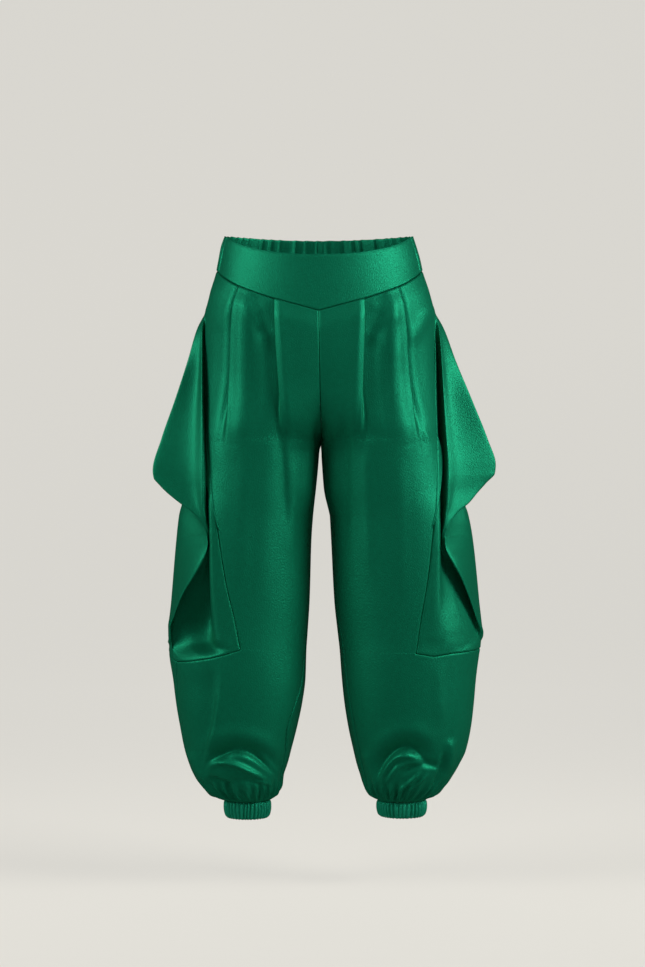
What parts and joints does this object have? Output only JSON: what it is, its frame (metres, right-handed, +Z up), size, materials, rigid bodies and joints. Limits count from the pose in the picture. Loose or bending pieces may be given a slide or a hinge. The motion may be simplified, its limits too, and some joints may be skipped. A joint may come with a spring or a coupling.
{
  "type": "pleated trousers",
  "caption": "Hollow worn-shape pleated trousers with a V yoke, gathered back band, cascading side drapes, full legs and narrow elastic cuffs.",
  "frame": {"origin": "centre of the waist opening at the height of its side corners, where the wearer holds it up", "axes": "+Z up, the front faces -Y, +X towards the wearer's left"},
  "size_m": [0.5403, 0.2515, 0.9297],
  "materials": {
    "panel_satin": "heavy emerald satin, soft broad sheen",
    "drape_satin": "heavy emerald satin, soft broad sheen",
    "band_satin": "heavy emerald satin, smooth doubled yoke",
    "elastic_satin": "emerald satin gathered over elastic"
  },
  "bodies": {
    "root": {"waistband_front": "band_satin", "waistband_back": "elastic_satin", "front_right": "panel_satin", "front_left": "panel_satin", "back_right": "panel_satin", "back_left": "panel_satin", "drape_right": "drape_satin", "drape_left": "drape_satin", "cuff_right": "elastic_satin", "cuff_left": "elastic_satin"}
  },
  "joints": []
}
